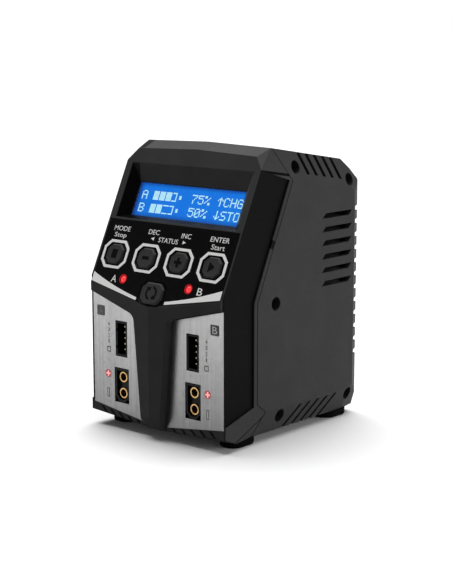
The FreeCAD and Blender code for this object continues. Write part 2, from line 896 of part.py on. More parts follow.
def covers():
    """The left and right covers, with the posts for their screws and for the side boards."""
    sides = shared_sides() + cover_sides()
    outer = form(sides, 0)
    skin = cut(outer, form(sides, WALL))
    shell = cut(skin, front_zone(), seam_groove())
    middle = dim("groove_width") / 2
    ring = cut(block((-middle, middle), (-60, 60), (0, 130)), form(sides, dim("groove_depth")))
    inlet_half = dim("inlet_width") / 2 + 0.2
    inlet_z = dim("inlet_centre")
    inlet_tall = dim("inlet_height") / 2 + 0.2
    inlet_y = (back(dim("back_wall_back") - 5), back(dim("back_wall_back") + 5))
    inlet_hole = block((-inlet_half, inlet_half), inlet_y, (inlet_z - inlet_tall, inlet_z + inlet_tall))
    for side, node in ((1, "right_cover"), (-1, "left_cover")):
        half_space = block(span_x(side, 0, HALF + 1), (-80, 80), (-5, 140))
        half_shell = common(shell, half_space)
        posts = []
        bores = []
        for y_back, z, head in SCREWS.values():
            reach = span_x(side, dim("post_gap") / 2, HALF - dim("post_root"))
            posts.append(rod_x(dim("boss_radius"), reach, back(y_back), z))
            if side > 0:
                bores.append(rod_x(dim("access_radius"), (head, HALF + 2), back(y_back), z))
                bores.append(rod_x(dim("screw_radius") + 0.15, (-1, head + 1), back(y_back), z))
            else:
                bores.append(rod_x(dim("screw_radius") + 0.02, (-10.5, 1), back(y_back), z))
        for y_back, z in side_board_corners(side):
            start = dim("side_board_outer") + 0.02
            reach = span_x(side, start, HALF - dim("post_root"))
            posts.append(rod_x(dim("side_post_radius"), reach, back(y_back), z))
            hole = span_x(side, start - 1, start + dim("side_screw_grip"))
            bores.append(rod_x(dim("screw_radius") + 0.02, hole, back(y_back), z))
        solid_posts = common(fuse(*posts), outer)
        vents = side_vents(side) + rear_vents(side) + top_vents(side) + under_vents(side)
        body = fuse(cut(half_shell, ring, inlet_hole, *vents), solid_posts)
        keep(node, cut(body, *bores))


def case_screws():
    """Five pan-head screws through the right cover into the left one."""
    screws = []
    for y_back, z, head in SCREWS.values():
        y = back(y_back)
        cap = rod_x(dim("head_radius"), (head + 0.02, head + 2.2), y, z)
        shank = rod_x(dim("screw_radius"), (-10, head + 0.5), y, z)
        slot_a = block((head + 1.2, head + 3), (y - 1.6, y + 1.6), (z - 0.35, z + 0.35))
        slot_b = block((head + 1.2, head + 3), (y - 0.35, y + 0.35), (z - 1.6, z + 1.6))
        screws.append(cut(fuse(cap, shank), slot_a, slot_b))
    keep("case_screws", group(*screws))


def feet():
    """Four long rubber feet."""
    names = {
        "foot_front_left": (-1, "foot_front_back"),
        "foot_front_right": (1, "foot_front_back"),
        "foot_rear_left": (-1, "foot_rear_back"),
        "foot_rear_right": (1, "foot_rear_back"),
    }
    for node, (side, place) in names.items():
        half = dim("foot_half")
        length = dim("foot_length") / 2
        centre_x = side * dim("foot_across")
        centre_y = back(dim(place))
        outline = rectangle((centre_x - half, centre_x + half), (centre_y - length, centre_y + length))
        body = prism("XY_Plane", outline, 0, dim("foot_height"))
        round_corners(body, [(x, y, 1.0) for x, y in outline], half - 0.4)
        spots = [(centre_x, centre_y - length, 0.0)]
        keep(node, round_corners(body, spots, 1.1))


# ---------------------------------------------------------------- front plates


def front_plates():
    """The two metal plates with windows for the header and the socket."""
    for side, node in ((-1, "front_plate_a"), (1, "front_plate_b")):
        y = (back(0), back(dim("plate_thick")))
        plate = plate_body(side, 0, y)
        window_y = (back(-3), back(3))
        keep(node, cut(plate, header_window(side, 0, window_y), socket_window(side, 0, window_y)))


def square_rod(x, z, half, y):
    """A square bar along Y around a place, with half its width given."""
    return block((x - half, x + half), y, (z - half, z + half))


def balance_headers():
    """Five-pin balance headers: an open-fronted housing and its row of square pins."""
    gap = dim("fit_gap")
    board = dim("connector_board_back")
    for side, letter in ((-1, "a"), (1, "b")):
        outer = header_window(side, -gap, (back(0.15), back(9.4)))
        hollow = header_window(side, -gap - 0.75, (back(-1), back(7.4)))
        outer_x = side * (dim("header_out") - gap)
        middle = (dim("header_low") + dim("header_high")) / 2
        slots = []
        x = sorted((outer_x - side * 1.2, outer_x + side * 1), key=value_of)
        for place in (-4.4, 3.2):
            slots.append(block(x, (back(-1), back(5.0)), (middle + place, middle + place + 1.2)))
        bores = []
        pins = []
        centre_x = side * (dim("header_in") + dim("header_out")) / 2
        for index in range(5):
            z = middle + dim("pin_pitch") * (index - 2)
            half = dim("pin_size") / 2
            pins.append(square_rod(centre_x, z, half, (back(2.2), back(board + 2.6))))
            bores.append(square_rod(centre_x, z, half + 0.02, (back(5), back(12))))
        keep(f"balance_header_{letter}", cut(outer, hollow, *slots, *bores))
        keep(f"balance_pins_{letter}", group(*pins))


def output_sockets():
    """Two-pole output sockets with a D-shaped body and tubular gilt contacts."""
    gap = dim("fit_gap")
    board = dim("connector_board_back")
    for side, letter in ((-1, "a"), (1, "b")):
        inner = dim("socket_in") + gap
        outer = dim("socket_out") - gap
        low = dim("socket_low") + gap
        high = dim("socket_high") - gap
        cut_off = 2.4
        shape = [
            (inner + cut_off, low),
            (outer - cut_off, low),
            (outer, low + cut_off),
            (outer, high),
            (inner, high),
            (inner, low + cut_off),
        ]
        shape = [(side * across, up) for across, up in shape]
        body = prism("XZ_Plane", shape, back(0.2), back(13.6))
        wall = 0.95
        nest = [
            (inner + cut_off + 0.4, low + wall),
            (outer - cut_off - 0.4, low + wall),
            (outer - wall, low + cut_off + 0.4),
            (outer - wall, high - wall),
            (inner + wall, high - wall),
            (inner + wall, low + cut_off + 0.4),
        ]
        nest = [(side * across, up) for across, up in nest]
        hollow = prism("XZ_Plane", nest, back(-1), back(1.7))
        centre_x = side * (dim("socket_in") + dim("socket_out")) / 2
        middle = (dim("socket_low") + dim("socket_high")) / 2
        contacts = []
        seats = []
        for sign in (1, -1):
            z = middle + dim("contact_pitch") / 2 * sign
            tube = rod_y(dim("contact_radius"), centre_x, (back(1.0), back(board + 2.4)), z)
            bore = rod_y(dim("contact_bore"), centre_x, (back(0), back(1.0 + dim("contact_length"))), z)
            contacts.append(cut(tube, bore))
            seats.append(rod_y(dim("contact_radius") + 0.03, centre_x, (back(0), back(16)), z))
        keep(f"output_socket_{letter}", cut(body, hollow, *seats))
        keep(f"output_contacts_{letter}", group(*contacts))


def connector_board():
    """The upright board that carries the headers and sockets."""
    start = back(dim("connector_board_back"))
    y = (start, start + dim("board_thick"))
    panel = block((-34, 34), y, (10, 50))
    holes = []
    for side in (1, -1):
        centre_x = side * (dim("socket_in") + dim("socket_out")) / 2
        middle = (dim("socket_low") + dim("socket_high")) / 2
        for sign in (1, -1):
            z = middle + dim("contact_pitch") / 2 * sign
            holes.append(rod_y(dim("contact_radius") + 0.03, centre_x, (start - 1, start + 3), z))
        header_x = side * (dim("header_in") + dim("header_out")) / 2
        header_z = (dim("header_low") + dim("header_high")) / 2
        for index in range(5):
            z = header_z + dim("pin_pitch") * (index - 2)
            holes.append(square_rod(header_x, z, dim("pin_size") / 2 + 0.02, (start - 1, start + 3)))
    keep("connector_board", cut(panel, *holes))


# ---------------------------------------------------------------- control face


def overlay():
    """The printed film over the keys, with windows for keys and lamps."""
    half = dim("film_half")
    outline = [
        (-half, dim("film_low_outer")),
        (0, dim("film_low_middle")),
        (half, dim("film_low_outer")),
        (half, dim("film_high")),
        (-half, dim("film_high")),
    ]
    holes = [(side * dim("lamp_across"), dim("lamp_row"), dim("lamp_radius") + 0.05) for side in (1, -1)]
    sheet_body = face_prism(outline, -dim("film_thick"), 0, holes)
    windows = [face_prism(button_outline(node, 1), -2, 2) for node in BUTTONS]
    keep("button_overlay", cut(sheet_body, *windows))


def buttons():
    """Five keys, each with a flange inside the case and a plunger to its switch."""
    board = dim("board_depth")
    for node, (across, up) in BUTTONS.items():
        proud = dim("channel_proud") if node == "button_channel" else dim("button_proud")
        cap = face_prism(button_outline(node), -proud, 3.2)
        flange = face_prism(button_outline(node, 1, dim("button_lap")), 3.0, 3.9)
        keep(node, fuse(cap, flange))
        stem_body = doc.addObject("PartDesign::Body", "Stem")
        stem = open_sketch(stem_body, "XY_Plane", -(board - dim("switch_high") + 0.9))
        draw_circle(stem, across, up, 1.6)
        pad(stem_body, stem, board - dim("switch_high") + 0.9 - 3.9)
        keep(node.replace("button", "plunger"), on_face(stem_body))


def tact_switches():
    """Five square key switches on the display board."""
    switches = []
    board = dim("board_depth")
    for across, up in BUTTONS.values():
        outline = rectangle((across - 3, across + 3), (up - 3, up + 3))
        top = board - dim("switch_high")
        switches.append(face_prism(outline, top, board, [(across, up, 1.8)]))
    keep("tact_switches", group(*switches))


def display():
    """The display: clear window, metal frame, glass, its own board and lamps."""
    deep = dim("view_depth")
    lens = deep + dim("lens_thick")
    keep("lcd_window", face_prism(view_outline(1.1), deep + 0.02, lens - 0.02))
    frame = face_prism(view_outline(3.4), dim("bezel_depth") + 0.05, dim("bezel_depth") + 3.2)
    opening = face_prism(view_outline(0.3), 4, 9)
    seat = face_prism(view_outline(2.2), dim("bezel_depth") + 0.65, 9)
    keep("lcd_frame", cut(frame, opening, seat))
    glass = face_prism(view_outline(2.1), dim("bezel_depth") + 0.7, dim("bezel_depth") + 3.1)
    keep("lcd_glass", glass)
    keep("lcd_board", face_prism(view_outline(4.2), dim("bezel_depth") + 3.25, dim("board_depth") - 0.1))
    for side, letter in ((-1, "a"), (1, "b")):
        across = side * dim("lamp_across")
        body = doc.addObject("PartDesign::Body", "Lamp")
        sketch = open_sketch(body, "XY_Plane", -(dim("board_depth") - 0.02))
        draw_circle(sketch, across, dim("lamp_row"), dim("lamp_radius"))
        pad(body, sketch, dim("board_depth") + 0.6)
        rim = (across - dim("lamp_radius"), dim("lamp_row"), 0.6)
        round_corners(body, [rim], dim("lamp_radius") * 0.8)
        keep(f"status_led_{letter}", on_face(body))


def display_board():
    """The control board behind the face."""
    depth = dim("board_depth")
    outline = [
        (-33.5, 70),
        (-10, 63.5),
        (10, 63.5),
        (33.5, 70),
        (33.5, 127),
        (-33.5, 127),
    ]
    keep("display_board", face_prism(outline, depth, depth + dim("board_thick")))
    chip = rectangle((-7, 7), (92, 106))
    chip_body = face_prism(chip, depth + dim("board_thick") + 0.02, depth + dim("board_thick") + 1.6)
    keep("control_chip", chip_body)


# ---------------------------------------------------------------- inside


def side_boards():
    """The power board beside the left cover and the charge board beside the right one."""
    thick = dim("board_thick")
    inner = dim("side_board_outer") - thick
    z_span = (dim("side_board_low"), dim("side_board_high"))
    screws = []
    for side, node in ((-1, "main_board"), (1, "charge_board")):
        front, rear = side_board_ends(side)
        panel = block(span_x(side, inner, inner + thick), (back(front), back(rear)), z_span)
        holes = []
        for y_back, z in side_board_corners(side):
            hole = span_x(side, inner - 1, inner + thick + 1)
            holes.append(rod_x(dim("screw_radius") + 0.1, hole, back(y_back), z))
            shank_span = span_x(side, inner - 1, inner + thick + 3)
            shank = rod_x(dim("screw_radius"), shank_span, back(y_back), z)
            head = rod_x(2.6, span_x(side, inner - 1.8, inner - 0.02), back(y_back), z)
            screws.append(fuse(shank, head))
        keep(node, cut(panel, *holes))
    keep("board_screws", group(*screws))


def power_parts():
    """The large components on the power board."""
    face = dim("board_thick") - dim("side_board_outer") + 0.02
    core = block((face + 0.5, face + 22), (back(44), back(70)), (31, 54))
    gap = block((face - 1, face + 30), (back(48), back(66)), (27, 60))
    coil = block((face, face + 21), (back(48.3), back(65.7)), (28.5, 56.5))
    keep("transformer_core", cut(core, gap))
    keep("transformer_coil", coil)
    cans = []
    for y_back, z, radius, length in ((46, 66, 6.6, 24), (60.5, 66, 6.6, 24), (71.5, 66.5, 3.6, 14)):
        cans.append(rod_x(radius, (face, face + length), back(y_back), z))
    keep("capacitors", group(*cans))
    fins = [block((face, face + 2.2), (back(41), back(73)), (78, 94.5))]
    for index in range(7):
        z = 78 + index * 2.5
        fins.append(block((face + 1.5, face + 17), (back(41), back(73)), (z, z + 1.3)))
    keep("heatsink", fuse(*fins))
    rings = []
    for y_back, z in ((48.5, 23.2), (58.6, 23.2)):
        ring = doc.addObject("Part::Torus", "Toroid")
        bind(ring, "Radius1", 3.3)
        bind(ring, "Radius2", 1.6)
        rings.append(move(ring, face + 1.7, back(y_back), z, ALONG_X))
    keep("inductors", group(*rings))
    mosfets = []
    for y_back in (45, 57, 69):
        tab = block((face + 17.05, face + 18.3), (back(y_back - 3), back(y_back + 3)), (80, 92))
        slab = block((face + 18.3, face + 21.6), (back(y_back - 3), back(y_back + 3)), (80, 88))
        mosfets.append(fuse(tab, slab))
    keep("mosfets", group(*mosfets))
    choke = block((face, face + 13), (back(64.2), back(70.6)), (19.5, 27.5))
    keep("mains_choke", choke)
    clips = [block((face, face + 5.2), (back(71.4), back(76.6)), (z, z + 2.5)) for z in (33, 47)]
    tube = rod(2.2, 16, face + 2.6, back(74), 33.2)
    keep("mains_fuse", fuse(tube, *clips))
    buzzer_seat = back(dim("connector_board_back") + dim("board_thick") + 0.02)
    buzzer = rod_y(4.6, 0, (buzzer_seat, back(23)), 42)
    keep("buzzer", cut(buzzer, rod_y(1.0, 0, (back(21), back(25)), 42)))


def fan():
    """The cooling fan: square frame with struts, rotor with seven blades, screws."""
    half = dim("fan_size") / 2
    centre = dim("fan_centre")
    y = (back(dim("fan_back")), back(dim("fan_back") + dim("fan_thick")))
    shell = block((-half, half), y, (centre - half, centre + half))
    through_fan = (back(dim("fan_back") - 1), back(dim("fan_back") + 12))
    duct = rod_y(dim("duct_radius"), 0, through_fan, centre)
    screw_front = back(dim("fan_back") - 1.8)
    screw_back = back(dim("back_wall_back") - 2.2)
    head_back = back(dim("fan_back") - 0.02)
    holes = []
    screws = []
    for x in (-16, 16):
        for up in (-16, 16):
            holes.append(rod_y(1.7, x, through_fan, centre + up))
            shank = rod_y(1.5, x, (screw_front, screw_back), centre + up)
            head = rod_y(2.6, x, (screw_front, head_back), centre + up)
            screws.append(fuse(shank, head))
    rear = back(dim("fan_back") + dim("fan_thick") - 1.4)
    disc = rod_y(dim("hub_radius"), 0, (rear, y[1]), centre)
    tube = rod_y(2.2, 0, (back(dim("fan_back") + 3.2), y[1]), centre)
    struts = []
    for turn in (45, 135, 225, 315):
        strut = block((0, dim("duct_radius") + 0.6), (rear, y[1]), (-0.8, 0.8))
        spin = FreeCAD.Rotation(FreeCAD.Vector(0, 1, 0), turn)
        offset = spin.multVec(FreeCAD.Vector(0, 0, -0.8))
        move(strut, offset.x, rear, centre + offset.z, spin)
        struts.append(strut)
    ring = fuse(cut(shell, duct), disc, tube, *struts)
    bearing = rod_y(1.05, 0, (back(dim("fan_back")), back(dim("fan_back") + 12)), centre)
    keep("fan_frame", cut(ring, bearing, *holes))
    keep("fan_screws", group(*screws))
    blades = []
    for index in range(7):
        turn = FreeCAD.Rotation(FreeCAD.Vector(0, 1, 0), 360 / 7 * index)
        pitch = FreeCAD.Rotation(FreeCAD.Vector(0, 0, 1), 38)
        blade = block((-0.45, 0.45), (-4.4, 4.4), (0, dim("blade_radius") - 7))
        corner = turn.multiply(pitch).multVec(FreeCAD.Vector(-0.45, -4.4, 8.1))
        mid = dim("fan_back") + 4.6
        move(blade, corner.x, back(mid) + corner.y, centre + corner.z, turn.multiply(pitch))
        blades.append(blade)
    envelope = rod_y(dim("blade_radius"), 0, (back(dim("fan_back") + 0.4), rear - 0.5), centre)
    hub = rod_y(dim("hub_radius"), 0, (back(dim("fan_back") + 0.4), rear - 0.6), centre)
    cavity = rod_y(dim("hub_radius") - 1.2, 0, (back(dim("fan_back") + 1.8), rear + 1), centre)
    shaft = rod_y(1.0, 0, (back(dim("fan_back") + 0.6), rear + 1.0), centre)
    vanes = [common(blade, envelope) for blade in blades]
    keep("fan_rotor", fuse(cut(hub, cavity), shaft, *vanes))


def inlet():
    """The mains inlet: moulded body with a keyed mouth, and its three blades."""
    half = dim("inlet_width") / 2
    tall = dim("inlet_height") / 2
    centre = dim("inlet_centre")
    outer_y = back(dim("back_wall_back") - 0.1)
    body = block((-half, half), (outer_y - 17.5, outer_y), (centre - tall, centre + tall))
    flange_y = (back(dim("back_wall_back") - 2.2 - 2.1), back(dim("back_wall_back") - 2.25))
    flange = block((-half - 1.6, half + 1.6), flange_y, (centre - tall - 1.6, centre + tall + 1.6))
    mouth = [(-11.8, -7.9), (11.8, -7.9), (11.8, 3.6), (7.6, 7.9), (-7.6, 7.9), (-11.8, 3.6)]
    mouth = [(x, centre + up) for x, up in mouth]
    hollow = prism("XZ_Plane", mouth, outer_y - 15.5, outer_y + 1)
    seats = []
    blades = []
    for x, up in ((-7, -2), (7, -2), (0, 2)):
        z = centre + up
        seat_y = (outer_y - 20, outer_y - 12)
        seats.append(block((x - 1.02, x + 1.02), seat_y, (z - 2.02, z + 2.02)))
        blade_y = (outer_y - 22, outer_y - 5.5)
        blades.append(block((x - 1, x + 1), blade_y, (z - 2, z + 2)))
    keep("mains_inlet", cut(fuse(body, flange), hollow, *seats))
    keep("mains_inlet_blades", group(*blades))


def bent_strip(path, width, thick):
    """A flat ribbon: a side-view centre line given thickness, across the middle."""
    edges = []
    for start, end in zip(path, path[1:]):
        edges.append(Part.LineSegment(vector(0, *start), vector(0, *end)).toShape())
    line = Part.Wire(edges)
    flat = line.makeOffset2D(thick / 2, openResult=True, fill=True)
    flat.translate(FreeCAD.Vector(-width / 2, 0, 0))
    solid = flat.extrude(FreeCAD.Vector(width, 0, 0))
    feature = doc.addObject("Part::Feature", "Ribbon")
    feature.Shape = solid
    return feature


def wire_run(path, radius):
    """A round wire along straight runs, bent at the corners."""
    corners = [vector(*point) for point in path]
    edges = []
    before = corners[0]
    for index in range(1, len(corners) - 1):
        here = corners[index]
        inward = (here - corners[index - 1])
        outward = (corners[index + 1] - here)
        reach = 0.45 * min(inward.Length, outward.Length)
        first = here - FreeCAD.Vector(inward).normalize() * reach
        last = here + FreeCAD.Vector(outward).normalize() * reach
        middle = (first + last) * 0.5
        half_chord = (last - first).Length / 2
        turn = inward.getAngle(outward) / 2
        bend = half_chord / math.sin(turn)
        sagitta = bend * (1 - math.cos(turn))
        peak = middle + FreeCAD.Vector(here - middle).normalize() * sagitta
        edges.append(Part.LineSegment(before, first).toShape())
        edges.append(Part.Arc(first, peak, last).toShape())
        before = last
    edges.append(Part.LineSegment(before, corners[-1]).toShape())
    spine = Part.Wire(edges)
    heading = FreeCAD.Vector(corners[1] - corners[0]).normalize()
    ring = Part.Wire([Part.Circle(corners[0], heading, radius).toShape()])
    return spine.makePipeShell([ring], True, True)


def fan_lead(x):
    """The route of one fan lead: down from the frame and over to the power board."""
    top = (x, back(78.7), 59.5)
    bend = (x - 3, back(77.9), 57.0)
    turn = (x - 9, back(77.6), 56.6)
    return [top, bend, turn, (x - 24.5, back(77.8), 56.4)]


def mains_lead(x):
    """The route of one mains lead: forward from the inlet and over to the power board."""
    start = (x, back(70.2), 25.0)
    bend = (x, back(64.5), 24.6)
    turn = (x - 4, back(60.5), 24.0)
    return [start, bend, turn, (-16.0, back(58.6), 22.6 + x / 6)]


def wiring():
    """The ribbon and the wires that join the boards, the fan and the inlet."""
    runs = {
        "fan_leads": [fan_lead(-1.2), fan_lead(1.2)],
        "mains_leads": [mains_lead(-7.0), mains_lead(7.0)],
    }
    for node, paths in runs.items():
        feature = doc.addObject("Part::Feature", "Wires")
        feature.Shape = Part.makeCompound([wire_run(path, 0.7) for path in paths])
        keep(node, feature)
    depth = dim("board_depth") + dim("board_thick") + 0.4
    start = face_point(0, 80, depth)
    knee = face_point(0, 78, depth + 5)
    path = [(start.y, start.z), (knee.y, knee.z), (back(26).value, 50.0), (back(17).value, 48.5)]
    keep("display_ribbon", bent_strip(path, 16.0, 0.3))


def write_parts():
    """Checks every object and writes each piece to its own file."""
    doc.recompute()
    failed = [item.Label for item in doc.Objects if {"Invalid", "Error"} & set(item.State)]
    if failed:
        raise RuntimeError(f"failed objects: {failed}")
    os.makedirs("parts", exist_ok=True)
    for node, thing in parts.items():
        shape = thing.Shape
        if shape.isNull() or not shape.isValid() or not shape.Solids:
            raise RuntimeError(f"{node} has no valid solid")
        shape.exportStep(f"parts/{node}.step")
        print(f"{node}: {len(shape.Solids)} solids, {shape.Volume:.1f} mm3")


front_shell()
covers()
case_screws()
feet()
front_plates()
balance_headers()
output_sockets()
connector_board()
overlay()
buttons()
tact_switches()
display()
display_board()
side_boards()
power_parts()
fan()
inlet()
wiring()
write_parts()
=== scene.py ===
"""The looks of a two-channel balance charger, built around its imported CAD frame.

The control face's axes come from the keys' joints. Rings, lamps, key caps, display and
stripe take their places from the CAD pieces. Legends and plate marks are placed by
their distance from the middle of the charger and up from ground level. Lengths are in
metres, so a number of millimetres is multiplied by MM.
"""
import json
import math

import bmesh
import bpy
from mathutils import Matrix, Vector


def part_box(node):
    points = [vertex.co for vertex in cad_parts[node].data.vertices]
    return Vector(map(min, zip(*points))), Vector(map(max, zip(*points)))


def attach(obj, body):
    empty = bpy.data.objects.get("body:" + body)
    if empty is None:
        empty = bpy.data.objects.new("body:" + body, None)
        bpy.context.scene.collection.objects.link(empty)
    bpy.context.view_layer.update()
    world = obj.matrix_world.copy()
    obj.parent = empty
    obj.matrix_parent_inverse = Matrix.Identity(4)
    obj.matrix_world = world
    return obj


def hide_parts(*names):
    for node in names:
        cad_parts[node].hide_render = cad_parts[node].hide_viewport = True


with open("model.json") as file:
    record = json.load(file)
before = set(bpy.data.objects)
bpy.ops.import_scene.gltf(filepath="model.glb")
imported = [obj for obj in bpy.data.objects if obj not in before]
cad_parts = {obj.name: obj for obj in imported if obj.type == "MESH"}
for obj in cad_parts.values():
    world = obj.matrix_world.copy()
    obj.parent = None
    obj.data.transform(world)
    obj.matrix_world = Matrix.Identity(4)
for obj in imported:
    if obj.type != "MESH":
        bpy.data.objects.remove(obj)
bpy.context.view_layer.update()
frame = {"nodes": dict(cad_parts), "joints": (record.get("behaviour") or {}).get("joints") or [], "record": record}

MM = 0.001
INK = 0.03 * MM  # thickness of a print
KEYS = ["stop", "minus", "plus", "start", "channel"]
SIDES = {"a": -1, "b": 1}

# ---------------------------------------------------------------- places


def face_matrix():
    """The control face: X across, Y up the slope from ground level, Z out of the face."""
    press = next(joint for joint in frame["joints"] if joint["name"] == "press_stop")
    outward = -Vector(press["axis"]).normalized()
    across = Vector((1, 0, 0))
    up = outward.cross(across)
    film = frame["nodes"]["button_overlay"].data.vertices
    level = max(vertex.co.dot(outward) for vertex in film)
    origin = Vector((0, level / outward.y, 0))
    matrix = Matrix((across, up, outward)).transposed().to_4x4()
    matrix.translation = origin
    return matrix


FACE = face_matrix()
FROM_FACE = FACE.inverted()
PLATE_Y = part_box("front_plate_a")[0].y
PLATE = Matrix(((1, 0, 0), (0, 0, 1), (0, -1, 0))).transposed().to_4x4()
PLATE.translation = Vector((0, PLATE_Y, 0))


def face_points(node):
    """The points of a node's mesh measured along the control face."""
    return [FROM_FACE @ vertex.co for vertex in frame["nodes"][node].data.vertices]


def face_box(node):
    """The lowest and highest corner of a node measured along the control face."""
    places = face_points(node)
    low = Vector([min(place[axis] for place in places) for axis in range(3)])
    high = Vector([max(place[axis] for place in places) for axis in range(3)])
    return low, high


def face_middle(node):
    """The middle of a node across and up the control face."""
    low, high = face_box(node)
    return (low.x + high.x) / 2, (low.y + high.y) / 2


FILM_LOW, FILM_HIGH = face_box("button_overlay")

# ---------------------------------------------------------------- materials


class Look:
    """A material and its shader, with short calls for adding nodes."""

    def __init__(self, name, **values):
        self.material = bpy.data.materials.new(name)
        self.material.use_nodes = True
        self.tree = self.material.node_tree
        self.shader = self.tree.nodes["Principled BSDF"]
        for socket, value in values.items():
            self.shader.inputs[socket.replace("_", " ")].default_value = value
        self.place = self.node("ShaderNodeTexCoord").outputs["Object"]

    def node(self, kind, inputs=None, **settings):
        """Adds a node; its inputs are values, or outputs of other nodes to link."""
        node = self.tree.nodes.new(kind)
        for name, value in settings.items():
            setattr(node, name, value)
        for name, value in (inputs or {}).items():
            if isinstance(value, bpy.types.NodeSocket):
                self.tree.links.new(value, node.inputs[name])
            else:
                node.inputs[name].default_value = value
        return node

    def noise(self, scale, detail=2.0, stretch=(1, 1, 1)):
        """Noise over the object, finer as scale grows, stretched along the axes."""
        place = self.node("ShaderNodeMapping", {"Vector": self.place, "Scale": stretch})
        inputs = {"Vector": place.outputs["Vector"], "Scale": scale, "Detail": detail}
        return self.node("ShaderNodeTexNoise", inputs).outputs["Fac"]

    def spread(self, factor, low, high):
        """A value between low and high that follows a factor."""
        inputs = {"Value": factor, "From Min": 0.3, "From Max": 0.7}
        inputs |= {"To Min": low, "To Max": high}
        return self.node("ShaderNodeMapRange", inputs).outputs["Result"]

    def ramp(self, value, start, end):
        """0 where a value is at start, 1 where it is at end, and between them a slope."""
        limits = {"Value": value, "From Min": start, "From Max": end}
        return self.node("ShaderNodeMapRange", limits).outputs["Result"]

    def calculate(self, operation, *values):
        """The result of a math node."""
        inputs = dict(enumerate(values))
        return self.node("ShaderNodeMath", inputs, operation=operation).outputs[0]

    def blend(self, factor, first, second):
        """A colour between two colours."""
        mix = self.node("ShaderNodeMix", data_type="RGBA")
        self.tree.links.new(factor, mix.inputs[0])
        for socket, colour in ((mix.inputs[6], first), (mix.inputs[7], second)):
            if isinstance(colour, bpy.types.NodeSocket):
                self.tree.links.new(colour, socket)
            else:
                socket.default_value = (*colour, 1)
        return mix.outputs[2]

    def set(self, socket, output):
        """Links an output to a socket of the shader."""
        self.tree.links.new(output, self.shader.inputs[socket])

    def colour(self, tone, change, scale=60):
        """The base colour, a little uneven over the surface."""
        darker = [part * (1 - change) for part in tone]
        lighter = [part * (1 + change) for part in tone]
        mixed = self.blend(self.spread(self.noise(scale), 0, 1), darker, lighter)
        self.set("Base Color", mixed)
        return mixed

    def rough(self, low, high, scale):
        """Roughness that wanders between two values."""
        self.set("Roughness", self.spread(self.noise(scale), low, high))

    def relief(self, height, strength, depth, edge=0.0):
        """Bump from a height, on edges that look rounded by the edge radius."""
        inputs = {"Height": height, "Strength": strength, "Distance": depth}
        if edge:
            bevel = self.node("ShaderNodeBevel", {"Radius": edge}, samples=6)
            inputs["Normal"] = bevel.outputs["Normal"]
        self.set("Normal", self.node("ShaderNodeBump", inputs).outputs["Normal"])


def moulded(name, tone, rough, grain=0.3, edge=0.35 * MM, gloss=0.12):
    """Moulded plastic with a fine spark-eroded grain."""
    look = Look(name, Specular_IOR_Level=gloss)
    look.colour(tone, 0.08)
    look.rough(rough - 0.05, rough + 0.07, 900)
    look.relief(look.noise(2600, 3), grain, 0.05 * MM, edge)
    return look


def face_place(look):
    """The place measured along the control face, for use in a material."""
    inputs = {
        "Vector": look.place,
        "Rotation": FROM_FACE.to_euler(),
        "Location": FROM_FACE.translation,
    }
    flat = look.node("ShaderNodeMapping", inputs).outputs["Vector"]
    return look.node("ShaderNodeSeparateXYZ", {"Vector": flat}).outputs


def recess_painted_shade_mask(look):
    """1 on the left and lower walls of the display recess, which are painted blacker as painted shade."""
    parts = face_place(look)
    low = face_box("lcd_window")[0]
    wall_x = low.x + 0.9 * MM
    wall_y = low.y + 0.9 * MM
    left = look.ramp(parts["X"], wall_x + 0.3 * MM, wall_x)
    under = look.ramp(parts["Y"], wall_y + 0.6 * MM, wall_y + 0.2 * MM)
    mask = look.calculate("MAXIMUM", left, under)
    deep = look.ramp(parts["Z"], -0.25 * MM, -0.5 * MM)
    above_film = look.ramp(parts["Y"], FILM_HIGH.y, FILM_HIGH.y + 0.1 * MM)
    inside = look.ramp(parts["X"], FILM_LOW.x + 0.5 * MM, FILM_LOW.x + 0.6 * MM)
    for limit in (deep, above_film, inside):
        mask = look.calculate("MULTIPLY", mask, limit)
    return mask


def shell_plastic():
    """The front shell: satin plastic whose side bands are darker up to their outer lip as a painted dark
    reflection, and whose display recess walls carry painted shade.
    """
    band_start = 38.35 * MM
    lip_start = 38.75 * MM
    look = Look("front_plastic", Specular_IOR_Level=0.04)
    across = look.node("ShaderNodeSeparateXYZ", {"Vector": look.place}).outputs["X"]
    wide = look.calculate("ABSOLUTE", across)
    band = look.ramp(wide, band_start, band_start + 0.1 * MM)
    lip = look.ramp(wide, lip_start, lip_start + 0.05 * MM)
    only_band = look.calculate("SUBTRACT", band, lip)
    grain = look.spread(look.noise(60), 0, 1)
    body = look.blend(grain, (0.055, 0.055, 0.056), (0.066, 0.066, 0.067))
    # painted dark reflection: the side bands are painted near black up to their outer lip
    band_painted_reflection = look.blend(grain, (0.0018, 0.0018, 0.002), (0.0024, 0.0024, 0.0026))
    outside = look.blend(only_band, body, band_painted_reflection)
    # painted shade: the left and lower walls of the display recess are painted near black
    look.set("Base Color", look.blend(recess_painted_shade_mask(look), outside, (0.002, 0.002, 0.0022)))
    look.rough(0.42, 0.52, 900)
    look.relief(look.noise(2600, 3), 0.2, 0.05 * MM, 0.35 * MM)
    return look


def brushed_plate():
    """Steel brushed upright, with painted shade making it a little darker towards the foot of the plate."""
    look = Look("plate_steel", Metallic=1.0, Anisotropic=0.7, Anisotropic_Rotation=0.25)
    strokes = look.noise(900, 6, (1, 1, 0.012))
    low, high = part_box("front_plate_a")
    height = look.node("ShaderNodeSeparateXYZ", {"Vector": look.place}).outputs["Z"]
    # painted shade: the plate's colour grows darker towards its foot
    foot_painted_shade_rise = look.ramp(height, low.z, high.z)
    tone = look.blend(foot_painted_shade_rise, (0.2, 0.2, 0.202), (0.36, 0.36, 0.363))
    bright = look.blend(foot_painted_shade_rise, (0.26, 0.26, 0.262), (0.44, 0.44, 0.443))
    look.set("Base Color", look.blend(look.spread(strokes, 0, 1), tone, bright))
    look.rough(0.34, 0.46, 700)
    look.relief(strokes, 0.18, 0.02 * MM, 0.1 * MM)
    return look


